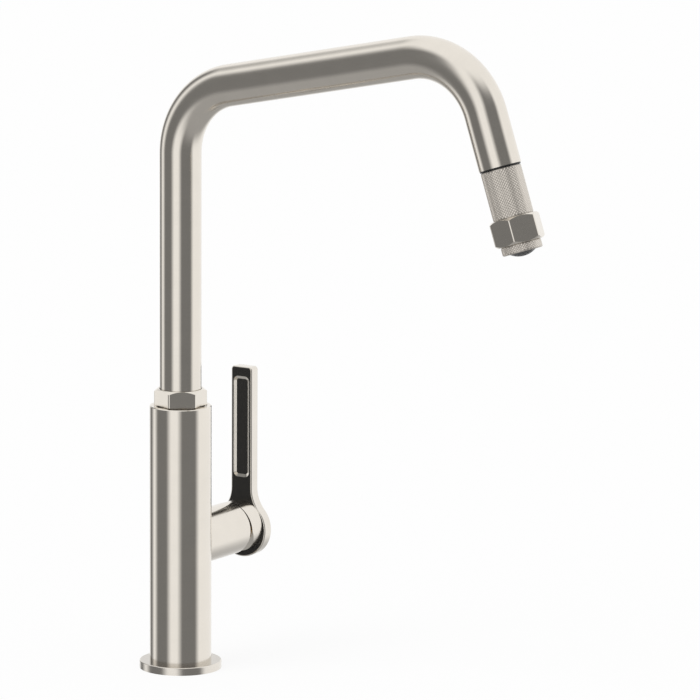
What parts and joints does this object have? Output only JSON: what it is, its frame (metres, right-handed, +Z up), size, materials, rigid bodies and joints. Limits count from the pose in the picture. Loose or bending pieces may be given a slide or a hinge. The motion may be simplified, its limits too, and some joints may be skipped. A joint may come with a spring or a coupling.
{
  "type": "pull-out kitchen faucet",
  "caption": "Tall single-lever kitchen faucet with a bent swivelling spout, a pull-out spray head and a flat side lever on a ceramic cartridge.",
  "frame": {"origin": "centre of the base flange's underside, on the worktop's upper face", "axes": "+Z up along the column and riser, +X the way the spout points at rest, +Y the side with the hub and lever"},
  "size_m": [0.3068, 0.109, 0.5319],
  "materials": {
    "brushed_nickel": "fine-brushed nickel plate",
    "brass": "machined",
    "zinc_steel": "zinc plated",
    "seal_rubber": "moulded",
    "white_polymer": "moulded",
    "black_polymer": "moulded",
    "dark_polymer": "moulded, satin",
    "ceramic": "lapped",
    "hose_braid": "braided"
  },
  "bodies": {
    "base": {"base_flange": "brushed_nickel", "base_gasket": "seal_rubber", "mounting_shank": "brass", "deck_rubber_washer": "seal_rubber", "deck_steel_washer": "zinc_steel", "mounting_nut": "brass", "clamp_screws": "zinc_steel", "column": "brushed_nickel", "valve_body": "brass", "cartridge_housing": "brass", "hub_sleeve": "brushed_nickel", "cartridge_base": "white_polymer", "cartridge_seals": "seal_rubber", "fixed_disc": "ceramic", "cartridge_body": "white_polymer", "cartridge_nut": "brass", "spout_nut": "brushed_nickel", "spout_bearing": "white_polymer", "thrust_washer": "white_polymer", "hose_tail_connector": "brass"},
    "spout": {"spout_tube": "brushed_nickel", "spout_snap_ring": "zinc_steel", "docking_bush": "black_polymer", "pull_out_hose": "hose_braid"},
    "rotor": {"stem_yoke": "white_polymer", "pivot_pin": "zinc_steel"},
    "handle": {"lever_stem": "brass", "handle_cap": "brushed_nickel", "handle_set_screw": "zinc_steel", "set_screw_plug": "brushed_nickel", "lever_handle": "brushed_nickel", "handle_end_cap": "brushed_nickel"},
    "disc": {"moving_disc": "ceramic", "disc_carrier": "white_polymer"},
    "hose_end": {"hose_ferrule": "brass", "ferrule_o_ring": "seal_rubber"},
    "spray_head": {"head_core": "black_polymer", "dock_o_ring": "seal_rubber", "hose_nut": "brass", "inlet_filter": "zinc_steel", "check_valve": "white_polymer", "grip_sleeve": "brushed_nickel", "hex_collar": "brushed_nickel", "aerator_ring": "brushed_nickel", "aerator_seal": "seal_rubber", "aerator": "dark_polymer"}
  },
  "joints": [
    {"name": "spout_swivel", "type": "hinge", "parent": "base", "child": "spout", "pos_m": [0, 0, 0.155], "axis": [0, 0, 1], "range_deg": [-75, 75], "deforming": ["pull_out_hose"]},
    {"name": "handle_turn", "type": "hinge", "parent": "base", "child": "rotor", "pos_m": [0, 0.04115, 0.085], "axis": [0, 1, 0], "range_deg": [-45, 45]},
    {"name": "handle_lift", "type": "hinge", "parent": "rotor", "child": "handle", "pos_m": [0, 0.04115, 0.085], "axis": [-1, 0, 0], "range_deg": [0, 25]},
    {"name": "disc_shift", "type": "slide", "parent": "rotor", "child": "disc", "axis": [0, 0, 1], "range_m": [0, 0.0031]},
    {"name": "spray_pull_out", "type": "slide", "parent": "spout", "child": "hose_end", "axis": [0.3155, 0, -0.9489], "range_m": [0, 0.3], "deforming": ["pull_out_hose"]},
    {"name": "spray_turn", "type": "hinge", "parent": "hose_end", "child": "spray_head", "pos_m": [0.24669, 0, 0.35949], "axis": [0.3155, 0, -0.9489], "continuous": true}
  ],
  "couplings": [
    {"joint": "disc_shift", "follows": "handle_lift", "m_per_rad": 0.007}
  ]
}
